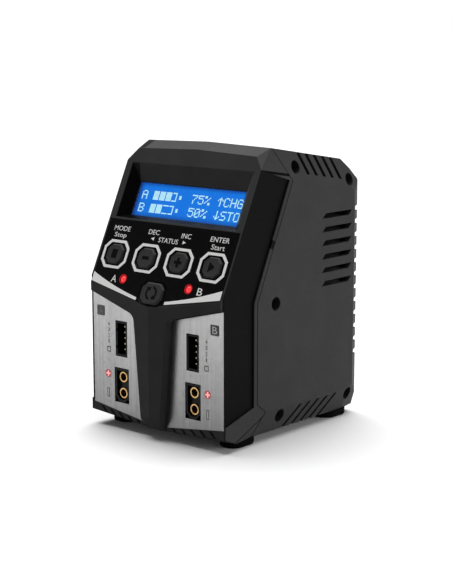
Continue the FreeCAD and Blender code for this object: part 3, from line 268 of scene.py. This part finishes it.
def metal(name, tone, rough):
    """Bare or plated metal with a faint unevenness."""
    look = Look(name, Metallic=1.0)
    look.colour(tone, 0.1, 300)
    look.rough(rough - 0.06, rough + 0.1, 900)
    look.relief(look.noise(2000, 3), 0.12, 0.02 * MM, 0.1 * MM)
    return look


def film_gloss():
    """Printed gloss film over the keys."""
    look = Look("film", Specular_IOR_Level=0.12)
    look.colour((0.0018, 0.0018, 0.002), 0.2, 80)
    look.rough(0.28, 0.36, 700)
    look.relief(look.noise(1500, 2), 0.06, 0.02 * MM)
    return look


def ink(name, tone, glow=0.0, gloss=0.3):
    """Screen-printed ink, slightly uneven; glow lights a lamp mark, and on the white ink it is a painted glow that
    makes the print look brighter.
    """
    look = Look(name, Specular_IOR_Level=gloss)
    mixed = look.colour(tone, 0.05, 2500)
    look.rough(0.45, 0.6, 1500)
    look.relief(look.noise(5000, 2), 0.15, 0.01 * MM)
    if glow:
        look.set("Emission Color", mixed)
        look.shader.inputs["Emission Strength"].default_value = glow
    return look


def backlight():
    """The blue display, darker along its edges and most at the left and the foot; the lighter top right is a
    painted highlight of the glass.
    """
    look = Look("lcd", Specular_IOR_Level=0.3)
    low, high = face_box("lcd_window")
    parts = face_place(look)
    inset = 1.1 * MM
    edges = []
    for axis, fade in ((0, 2.2 * MM), (1, 2.6 * MM)):
        near = low[axis] + inset
        far = high[axis] - inset
        # the left and foot fade over a wider span, which leaves a painted highlight towards the top right
        edges.append(look.ramp(parts[axis], near - fade * 0.3, near + fade))
        edges.append(look.ramp(parts[axis], far + fade * 0.3, far - fade * 0.5))
    level = edges[0]
    for edge in edges[1:]:
        level = look.calculate("MULTIPLY", level, edge)
    cloud = look.noise(90, 2)
    middle = look.blend(look.spread(cloud, 0, 1), (0.0, 0.2, 0.98), (0.0, 0.26, 1.0))
    tone = look.blend(level, (0.0, 0.04, 0.28), middle)
    look.set("Emission Color", tone)
    look.shader.inputs["Emission Strength"].default_value = 1.0
    look.shader.inputs["Base Color"].default_value = (0.0, 0.01, 0.05, 1)
    look.rough(0.3, 0.4, 300)
    return look


def clear_window():
    """The clear plastic window, very slightly uneven."""
    look = Look("window", Roughness=0.03, IOR=1.46, Transmission_Weight=1.0)
    look.relief(look.noise(120, 2), 0.02, 0.02 * MM)
    return look


def lamp_lens():
    """A lit red lamp, brightest at the middle of its dome."""
    look = Look("lamp", Roughness=0.25)
    facing = look.node("ShaderNodeLayerWeight", {"Blend": 0.35}).outputs["Facing"]
    tone = look.blend(facing, (1.0, 0.03, 0.035), (0.55, 0.0, 0.003))
    look.set("Base Color", tone)
    look.set("Emission Color", tone)
    look.shader.inputs["Emission Strength"].default_value = 1.3
    look.relief(look.noise(800, 2), 0.05, 0.02 * MM)
    return look


def board_green():
    """Solder mask with the faint relief of tracks below it."""
    look = Look("board", Specular_IOR_Level=0.5)
    tracks = look.node("ShaderNodeTexBrick", {"Vector": look.place, "Scale": 260.0})
    lines = tracks.outputs["Fac"]
    look.set("Base Color", look.blend(lines, (0.012, 0.085, 0.035), (0.02, 0.13, 0.05)))
    look.rough(0.25, 0.4, 500)
    look.relief(lines, 0.3, 0.05 * MM)
    return look


LOOKS = {
    "front_plastic": shell_plastic(),
    "case_plastic": moulded("case_plastic", (0.05, 0.05, 0.051), 0.55, 0.35),
    "plate_steel": brushed_plate(),
    "black_plastic": moulded("black_plastic", (0.01, 0.01, 0.0105), 0.38, 0.12, 0.15 * MM),
    "film": film_gloss(),
    "key_plastic": moulded("key_plastic", (0.048, 0.048, 0.049), 0.5, 0.2, 0.1 * MM),
    "key_stem": moulded("key_stem", (0.5, 0.5, 0.48), 0.5, 0.2, 0.1 * MM),
    "window": clear_window(),
    "lcd": backlight(),
    "lamp": lamp_lens(),
    "steel": metal("steel", (0.5, 0.5, 0.5), 0.32),
    "gilt": metal("gilt", (0.62, 0.4, 0.17), 0.3),
    "tin": metal("tin", (0.6, 0.6, 0.58), 0.25),
    "rubber": moulded("rubber", (0.004, 0.004, 0.004), 0.78, 0.5, 0.3 * MM, 0.03),
    "board": board_green(),
    "dark_board": moulded("dark_board", (0.004, 0.0045, 0.004), 0.4, 0.15, 0.1 * MM),
    "chip": moulded("chip", (0.014, 0.014, 0.014), 0.6, 0.3),
    "ferrite": moulded("ferrite", (0.02, 0.02, 0.022), 0.75, 0.5),
    "coil_tape": moulded("coil_tape", (0.55, 0.4, 0.05), 0.35, 0.1),
    "can": moulded("can", (0.02, 0.03, 0.09), 0.3, 0.1),
    "heatsink": metal("heatsink", (0.55, 0.55, 0.57), 0.4),
    "copper": metal("copper", (0.6, 0.24, 0.1), 0.3),
    "wire": moulded("wire", (0.35, 0.02, 0.015), 0.45, 0.1, 0.05 * MM),
    "ribbon": moulded("ribbon", (0.4, 0.4, 0.4), 0.5, 0.1, 0.05 * MM),
}
PIN_GILT = metal("pin_gilt", (0.42, 0.36, 0.26), 0.42)
# the white ink glows a little: a painted glow that makes the print look brighter than the light makes it
WHITE_INK_PAINTED_GLOW = ink("white_ink_painted_glow", (0.93, 0.93, 0.92), 0.12)
GREY_INK = ink("grey_ink", (0.13, 0.13, 0.132))
TAG_INK = ink("tag_ink", (0.2, 0.2, 0.202))
PALE_INK = ink("pale_ink", (0.42, 0.42, 0.42))
BLACK_INK = ink("black_ink", (0.0035, 0.0035, 0.0035), gloss=0.05)
LCD_INK = ink("lcd_ink", (0.55, 0.93, 1.0), 0.95)
RED_MARK = ink("red_mark", (1.0, 0.42, 0.42), 0.9)
RED_HALO = ink("red_halo", (0.85, 0.2, 0.19), 0.12)
LAMP_GLOW = ink("lamp_glow", (0.5, 0.006, 0.008), 0.35)


def dress_frame():
    """Gives every CAD node its slot's material; the header pins get a duller gilt."""
    for part in frame["record"]["subparts"]:
        node = frame["nodes"][part["node"]]
        look = LOOKS[part["material_slot"]]
        if part["node"].startswith("balance_pins"):
            look = PIN_GILT
        node.data.materials.clear()
        node.data.materials.append(look.material)


# ---------------------------------------------------------------- building pieces


def finish_piece(name, mesh, look, body):
    """Makes an object of a mesh and ties it to its body."""
    mesh.materials.append(look.material)
    piece = bpy.data.objects.new(name, mesh)
    bpy.context.scene.collection.objects.link(piece)
    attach(piece, body)
    return piece


def add_prism(work, outline, low, high, hole=None):
    """Adds a closed solid between two heights; a hole has as many points as its outline."""
    loops = [outline, hole] if hole else [outline]
    bottoms = [[work.verts.new((x, y, low)) for x, y in loop] for loop in loops]
    tops = [[work.verts.new((x, y, high)) for x, y in loop] for loop in loops]
    count = len(outline)
    for bottom, top in zip(bottoms, tops):
        for index in range(count):
            after = (index + 1) % count
            work.faces.new((bottom[index], bottom[after], top[after], top[index]))
    if not hole:
        work.faces.new(bottoms[0][::-1])
        work.faces.new(tops[0])
        return
    for (outer, inner), order in ((bottoms, -1), (tops, 1)):
        for index in range(count):
            after = (index + 1) % count
            quad = (outer[index], outer[after], inner[after], inner[index])
            work.faces.new(quad[::order])


def mesh_of(name, work, matrix):
    """Turns a bmesh drawn on a surface into a mesh in its place, with its faces outwards."""
    bmesh.ops.recalc_face_normals(work, faces=work.faces)
    bmesh.ops.transform(work, matrix=matrix, verts=work.verts)
    mesh = bpy.data.meshes.new(name)
    work.to_mesh(mesh)
    work.free()
    return mesh


def printed(name, shapes, matrix, level, look, body="case", thick=INK):
    """Thin solids on a surface at a level; a shape is an outline or (outline, hole)."""
    work = bmesh.new()
    for shape in shapes:
        outline, hole = shape if isinstance(shape, tuple) else (shape, None)
        add_prism(work, outline, level, level + thick, hole)
    return finish_piece(name, mesh_of(name, work, matrix), look, body)


def box_outline(low_x, low_y, high_x, high_y):
    """A rectangle between two corners."""
    return [(low_x, low_y), (high_x, low_y), (high_x, high_y), (low_x, high_y)]


def octagon(x, y, half_w, half_h, cut_w, cut_h):
    """An octagon: a rectangle whose corners are cut off."""
    quarter = [(half_w, half_h - cut_h), (half_w - cut_w, half_h)]
    right = [(a, -b) for a, b in reversed(quarter)] + quarter
    whole = right + [(-a, -b) for a, b in right]
    return [(x + a, y + b) for a, b in whole]


def rounded_box(x, y, half_w, half_h, radius, steps=5):
    """A rectangle with rounded corners."""
    outline = []
    for corner, (sign_x, sign_y) in enumerate(((1, -1), (1, 1), (-1, 1), (-1, -1))):
        centre_x = x + sign_x * (half_w - radius)
        centre_y = y + sign_y * (half_h - radius)
        for step in range(steps + 1):
            angle = math.radians(-90 + 90 * corner + 90 * step / steps)
            across = radius * math.cos(angle)
            up = radius * math.sin(angle)
            outline.append((centre_x + across, centre_y + up))
    return outline


def cross_outline(x, y, half, bar):
    """A plus sign."""
    arm = [(bar, -half), (bar, -bar), (half, -bar), (half, bar), (bar, bar), (bar, half)]
    whole = arm + [(-a, -b) for a, b in arm]
    return [(x + a, y + b) for a, b in whole]


def lettering(name, words, matrix, level, look):
    """Words as thin solids: each has its text, middle, height and width."""
    work = bmesh.new()
    for text, x, y, height, width in words:
        curve = bpy.data.curves.new(name, "FONT")
        curve.body = text
        curve.size = 1.0
        curve.extrude = 0.5
        curve.resolution_u = 3
        carrier = bpy.data.objects.new(name, curve)
        bpy.context.scene.collection.objects.link(carrier)
        bpy.context.view_layer.update()
        mesh = bpy.data.meshes.new_from_object(carrier)
        bpy.data.objects.remove(carrier)
        low_x = min(vertex.co.x for vertex in mesh.vertices)
        high_x = max(vertex.co.x for vertex in mesh.vertices)
        low_y = min(vertex.co.y for vertex in mesh.vertices)
        high_y = max(vertex.co.y for vertex in mesh.vertices)
        for vertex in mesh.vertices:
            across = ((vertex.co.x - low_x) / (high_x - low_x) - 0.5) * width
            up = ((vertex.co.y - low_y) / (high_y - low_y) - 0.5) * height
            raise_by = level + (vertex.co.z + 0.5) * INK
            vertex.co = (x + across, y + up, raise_by)
        work.from_mesh(mesh)
        bpy.data.meshes.remove(mesh)
    bmesh.ops.remove_doubles(work, verts=work.verts, dist=0.001 * MM)
    return finish_piece(name, mesh_of(name, work, matrix), look, "case")


# ---------------------------------------------------------------- control face


def key_rings():
    """White octagonal rings round the four upper keys."""
    outside = (7.55 * MM, 6.4 * MM, 3.1 * MM, 3.3 * MM)
    inside = (6.2 * MM, 5.2 * MM, 2.5 * MM, 2.6 * MM)
    rings = []
    for key in KEYS[:4]:
        x, y = face_middle(f"button_{key}")
        rings.append((octagon(x, y, *outside), octagon(x, y, *inside)))
    printed("key_rings", rings, FACE, 0, WHITE_INK_PAINTED_GLOW)


def white_stripe():
    """The stripe along the film's lower edge, which widens towards both sides."""
    start = face_box("button_channel")[1].x + 0.1 * MM
    end = FILM_HIGH.x - 0.1 * MM
    slope = 0.193
    steps = 14
    for side, name in ((-1, "stripe_left"), (1, "stripe_right")):
        lower = []
        upper = []
        for step in range(steps + 1):
            x = start + (end - start) * step / steps
            share = (x - start) / (end - start)
            edge = FILM_LOW.y + 0.15 * MM + slope * x
            width = (1.3 + 0.3 * share + 2.5 * share ** 2.2) * MM
            lower.append((side * x, edge))
            upper.append((side * x, edge + width))
        printed(name, [lower + upper[::-1]], FACE, 0, WHITE_INK_PAINTED_GLOW)


def legends():
    """Generic words above the keys, and the channels' letters beside the lamps."""
    words = [  # the text, then its middle, height and width in millimetres
        ("MODE", -28.3, 96.6, 2.2, 9.6),
        ("Stop", -28.3, 93.3, 2.7, 7.2),
        ("DEC", -9.3, 96.6, 2.2, 6.2),
        ("INC", 9.4, 96.6, 2.2, 5.4),
        ("STATUS", 0.0, 93.6, 2.2, 11.2),
        ("ENTER", 28.1, 96.8, 2.2, 10.3),
        ("Start", 28.2, 93.5, 2.3, 7.4),
        ("A", -24.3, 74.0, 3.1, 3.1),
        ("B", 25.5, 74.0, 3.1, 2.8),
    ]
    places = [(text, *[size * MM for size in sizes]) for text, *sizes in words]
    lettering("legends", places, FACE, 0, WHITE_INK_PAINTED_GLOW)
    level = 93.7 * MM
    half = 0.8 * MM
    arrows = []
    for side in (-1, 1):
        tip = side * 10.1 * MM
        base = side * 8.3 * MM
        arrows.append([(tip, level), (base, level - half), (base, level + half)])
    printed("legend_arrows", arrows, FACE, 0, WHITE_INK_PAINTED_GLOW)


def lamp_rings():
    """The red light that a lit lamp spreads through the film round it."""
    rings = []
    for letter in SIDES:
        lamp = f"status_led_{letter}"
        low, high = face_box(lamp)
        x, y = face_middle(lamp)
        half = (high.x - low.x) / 2
        outer = rounded_box(x, y, half + 0.55 * MM, half + 0.6 * MM, half + 0.5 * MM)
        inner = rounded_box(x, y, half + 0.05 * MM, half + 0.05 * MM, half)
        rings.append((outer, inner))
    printed("lamp_rings", rings, FACE, 0, LAMP_GLOW)


def arc_arrow(x, y, radius, bar, start, end):
    """A bent arrow: an arc between two angles in degrees with a head at its end."""
    def spot(angle, reach):
        turn = math.radians(angle)
        return x + math.cos(turn) * reach, y + math.sin(turn) * reach

    steps = 14
    angles = [start + (end - start) * step / steps for step in range(steps + 1)]
    outer = [spot(angle, radius + bar / 2) for angle in angles]
    inner = [spot(angle, radius - bar / 2) for angle in angles]
    head = [
        spot(end, radius + bar * 1.5),
        spot(end + math.copysign(42, end - start), radius),
        spot(end, radius - bar * 1.5),
    ]
    return outer + head + inner[::-1]


def key_icon(key, x, y):
    """The outlines of the sign on a key."""
    if key == "stop":
        return [box_outline(x - 1.6 * MM, y - 2.0 * MM, x + 1.6 * MM, y + 2.0 * MM)]
    if key == "minus":
        return [box_outline(x - 1.9 * MM, y - 0.75 * MM, x + 1.9 * MM, y + 0.75 * MM)]
    if key == "plus":
        return [cross_outline(x, y, 2.1 * MM, 0.7 * MM)]
    if key == "start":
        return [[(x - 1.5 * MM, y - 2.3 * MM), (x + 1.9 * MM, y), (x - 1.5 * MM, y + 2.3 * MM)]]
    return [arc_arrow(x, y, 2.7 * MM, 0.9 * MM, start, start - 115) for start in (80, 260)]


def cap_mesh(name, x, y, levels):
    """A closed cap of octagons, each with its half width, half height and level."""
    work = bmesh.new()
    rows = []
    for wide, tall, depth in levels:
        cut = tall * 0.52
        outline = octagon(x, y, wide, tall, cut, cut)
        rows.append([work.verts.new((a, b, depth)) for a, b in outline])
    for first, second in zip(rows, rows[1:]):
        for index in range(8):
            after = (index + 1) % 8
            work.faces.new((first[index], first[after], second[after], second[index]))
    work.faces.new(rows[0][::-1])
    work.faces.new(rows[-1])
    return mesh_of(name, work, FACE)


def key_caps():
    """Chamfered, slightly dished key caps with a black sign, over the plain CAD keys."""
    for key in KEYS:
        node = f"button_{key}"
        low, high = face_box(node)
        x, y = face_middle(node)
        crown = [place for place in face_points(node) if place.z > high.z - 0.01 * MM]
        half_w = max(place.x for place in crown) - x
        half_h = max(place.y for place in crown) - y
        flange = low.z + 0.9 * MM
        dish = high.z - 0.1 * MM
        levels = [
            (high.x - x, high.y - y, low.z),
            (high.x - x, high.y - y, flange),
            (half_w, half_h, flange),
            (half_w, half_h, high.z - 0.75 * MM),
            (half_w - 0.45 * MM, half_h - 0.45 * MM, high.z - 0.12 * MM),
            (half_w - 0.65 * MM, half_h - 0.65 * MM, high.z),
            (half_w - 1.5 * MM, half_h - 1.5 * MM, dish),
        ]
        body = f"key_{key}"
        mesh = cap_mesh(node, x, y, levels)
        cap = finish_piece(f"cap_{key}", mesh, LOOKS["key_plastic"], body)
        soften(cap, 0.12 * MM)
        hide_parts(node)
        printed(f"sign_{key}", key_icon(key, x, y), FACE, dish, BLACK_INK, body)


def soften(piece, width):
    """Rounds the edges of a piece with real geometry."""
    bevel = piece.modifiers.new("Soften", "BEVEL")
    bevel.width = width
    bevel.segments = 2
    bevel.limit_method = "ANGLE"
    bevel.angle_limit = math.radians(20)


# ---------------------------------------------------------------- display

GLYPHS = {
    "A": ("01110", "10001", "10001", "11111", "10001", "10001", "10001"),
    "B": ("11110", "10001", "10001", "11110", "10001", "10001", "11110"),
    "7": ("11111", "00001", "00010", "00100", "01000", "01000", "01000"),
    "5": ("11111", "10000", "11110", "00001", "00001", "10001", "01110"),
    "0": ("01110", "10001", "10011", "10101", "11001", "10001", "01110"),
    "%": ("11000", "11001", "00010", "00100", "01000", "10011", "00011"),
    "C": ("01110", "10001", "10000", "10000", "10000", "10001", "01110"),
    "H": ("10001", "10001", "10001", "11111", "10001", "10001", "10001"),
    "G": ("01110", "10001", "10000", "10111", "10001", "10001", "01111"),
    "S": ("01111", "10000", "10000", "01110", "00001", "00001", "11110"),
    "T": ("11111", "00100", "00100", "00100", "00100", "00100", "00100"),
    "O": ("01110", "10001", "10001", "10001", "10001", "10001", "01110"),
    "^": ("00100", "01110", "10101", "00100", "00100", "00100", "00100"),
    "v": ("00100", "00100", "00100", "00100", "10101", "01110", "00100"),
    "#": ("11111", "11111", "11111", "11111", "11111", "11111", "11111"),
    "-": ("11111", "00000", "00000", "00000", "00000", "00000", "11111"),
    ")": ("11110", "00010", "00010", "00010", "00010", "00010", "11110"),
    ".": ("00000", "00000", "11000", "11000", "11000", "00000", "00000"),
}
LCD_ROWS = (  # each group of letters with the place where it starts, in millimetres
    (("A", 0.6), ("###)", 7.4), (".", 22.6), ("75%", 29.9), ("^", 44.6), ("CHG", 48.2)),
    (("B", 0.6), ("##-)", 7.4), (".", 22.6), ("50%", 29.9), ("v", 44.6), ("STO", 48.2)),
)


def lit_dots(letter, x, y, dot_w, dot_h):
    """The top left corner of each lit dot of a letter."""
    corners = []
    for line, bits in enumerate(GLYPHS[letter]):
        for place, bit in enumerate(bits):
            if bit == "1":
                corners.append((x + dot_w * place, y - dot_h * line))
    return corners


def display_text():
    """Two rows of dots: the channel, a battery, its charge and what it is doing."""
    low, high = face_box("lcd_window")
    glass = face_box("lcd_glass")[1].z
    letter_pitch = 3.72 * MM
    dot_w = 0.64 * MM
    dot_h = 0.585 * MM
    filled = 0.94
    left = low.x + 2.35 * MM
    right = high.x - 1.3 * MM
    dots = []
    for row, groups in enumerate(LCD_ROWS):
        top = high.y - (4.15 + 5.95 * row) * MM
        for text, start in groups:
            for column, letter in enumerate(text):
                corner = left + start * MM + letter_pitch * column
                for x, y in lit_dots(letter, corner, top, dot_w, dot_h):
                    if x + dot_w < right:  # the display ends within the last letter
                        dots.append(box_outline(x, y - dot_h * filled, x + dot_w * filled, y))
    printed("display_text", dots, FACE, glass + 0.02 * MM, LCD_INK)


# ---------------------------------------------------------------- front plates


def on_plate(name, shape, look, level=0, thick=INK):
    """Prints one flat shape on a front plate."""
    printed(name, [shape], PLATE, level, look, thick=thick)


def plate_tag(letter, side):
    """The channel's letter on its tag; the tag of channel A is the duller one."""
    tag_look, letter_look = (TAG_INK, PALE_INK) if side < 0 else (GREY_INK, WHITE_INK_PAINTED_GLOW)
    x = side * 33.2 * MM
    up = 51.8 * MM
    on_plate(f"tag_{letter}", rounded_box(x, up, 2.4 * MM, 2.25 * MM, 0.5 * MM), tag_look)
    word = (letter.upper(), x, up, 3.0 * MM, 2.6 * MM)
    lettering(f"tag_letter_{letter}", [word], PLATE, INK, letter_look)


def pin_marks(letter, x):
    """The numbers beside the header's pins, and an open box below them."""
    top = 46.3 * MM
    pitch = 2.55 * MM
    digits = []
    for index, digit in enumerate("4321"):
        width = 0.5 * MM if digit == "1" else 1.1 * MM
        digits.append((digit, x, top - pitch * index, 1.7 * MM, width))
    lettering(f"pin_numbers_{letter}", digits, PLATE, 0, GREY_INK)
    outer = box_outline(x - 1.15 * MM, 33.9 * MM, x + 1.15 * MM, 36.3 * MM)
    inner = box_outline(x - 0.75 * MM, 34.3 * MM, x + 0.75 * MM, 35.9 * MM)
    on_plate(f"pin_box_{letter}", (outer, inner), GREY_INK)


def polarity_marks(letter, x):
    """A lit plus sign and a minus sign beside the output socket."""
    plus_up = 24.1 * MM
    minus_up = 15.6 * MM
    under = INK / 2
    halo = rounded_box(x, plus_up, 1.75 * MM, 1.75 * MM, 1.5 * MM, 8)
    on_plate(f"plus_halo_{letter}", halo, RED_HALO, thick=under)
    plus = cross_outline(x, plus_up, 1.25 * MM, 0.35 * MM)
    on_plate(f"plus_sign_{letter}", plus, RED_MARK, under)
    edge = rounded_box(x, minus_up, 0.75 * MM, 2.1 * MM, 0.4 * MM)
    on_plate(f"minus_edge_{letter}", edge, GREY_INK, thick=under)
    bar = box_outline(x - 0.32 * MM, 13.9 * MM, x + 0.32 * MM, 17.3 * MM)
    on_plate(f"minus_sign_{letter}", bar, WHITE_INK_PAINTED_GLOW, under)


def plate_marks():
    """Letters, pin numbers and polarity signs printed on the two plates."""
    for letter, side in SIDES.items():
        plate_tag(letter, side)
        pin_marks(letter, side * 28.55 * MM)
        polarity_marks(letter, side * 29.2 * MM)


# ---------------------------------------------------------------- stage


def stage_floor():
    """A wide white floor, which diffuse and transmission rays pass through."""
    look = Look("floor", Roughness=0.9, Specular_IOR_Level=0.0)
    look.colour((0.95, 0.95, 0.95), 0.01, 3)
    work = bmesh.new()
    reach = 60.0
    for x, y in ((-reach, -reach), (reach, -reach), (reach, reach), (-reach, reach)):
        work.verts.new((x, y, 0))
    work.faces.new(work.verts)
    mesh = bpy.data.meshes.new("floor")
    work.to_mesh(mesh)
    work.free()
    mesh.materials.append(look.material)
    floor = bpy.data.objects.new("floor", mesh)
    bpy.context.scene.collection.objects.link(floor)
    floor.visible_diffuse = False
    floor.visible_transmission = False


def stage_world():
    """White where the camera sees it, dimmer where it lights the object."""
    world = bpy.data.worlds.new("studio")
    world.use_nodes = True
    nodes = world.node_tree.nodes
    background = nodes["Background"]
    background.inputs["Color"].default_value = (1, 1, 1, 1)
    path = nodes.new("ShaderNodeLightPath")
    strength = nodes.new("ShaderNodeMapRange")
    strength.inputs["To Min"].default_value = 0.12
    strength.inputs["To Max"].default_value = 1.0
    world.node_tree.links.new(path.outputs["Is Camera Ray"], strength.inputs["Value"])
    world.node_tree.links.new(strength.outputs["Result"], background.inputs["Strength"])
    bpy.context.scene.world = world


def stage_light(name, data, place):
    """Places a light and turns it to the middle of the object."""
    middle = Vector((0, 0, 0.06))
    lamp = bpy.data.objects.new(name, data)
    lamp.location = place
    lamp.rotation_euler = (middle - Vector(place)).to_track_quat("-Z", "Y").to_euler()
    bpy.context.scene.collection.objects.link(lamp)


def stage_panel(name, place, width, height, power):
    """A soft light panel that faces the object."""
    data = bpy.data.lights.new(name, "AREA")
    data.shape = "RECTANGLE"
    data.size = width
    data.size_y = height
    data.energy = power
    stage_light(name, data, place)


def stage_sky():
    """A broad light from above, a little behind and to the left."""
    data = bpy.data.lights.new("sky_light", "SUN")
    data.energy = 3.9
    data.angle = math.radians(70)
    stage_light("sky_light", data, (-0.3, 0.3, 1.2))


def stage_camera():
    """A camera in front, to the right and a little above, with a long lens."""
    azimuth = math.radians(41.11)
    elevation = math.radians(10.36)
    level = math.cos(elevation)
    heading = Vector((
        -math.sin(azimuth) * level,
        math.cos(azimuth) * level,
        -math.sin(elevation),
    ))
    data = bpy.data.cameras.new("camera")
    data.sensor_width = 36
    data.lens = 88.87
    data.clip_start = 0.01
    camera = bpy.data.objects.new("camera", data)
    camera.location = (0.4145, -0.4737, 0.1728)
    camera.rotation_euler = heading.to_track_quat("-Z", "Y").to_euler()
    bpy.context.scene.collection.objects.link(camera)
    bpy.context.scene.camera = camera


def stage():
    """The floor, the world, three lights and the camera."""
    stage_floor()
    stage_world()
    stage_sky()
    stage_panel("left_light", (-1.25, -0.95, 0.23), width=1.1, height=0.42, power=2.5)
    stage_panel("right_light", (1.25, 0.3, 0.3), width=0.9, height=0.7, power=8)
    stage_camera()
    bpy.context.scene.view_settings.view_transform = "Standard"


dress_frame()
key_rings()
white_stripe()
legends()
lamp_rings()
key_caps()
display_text()
plate_marks()
stage()
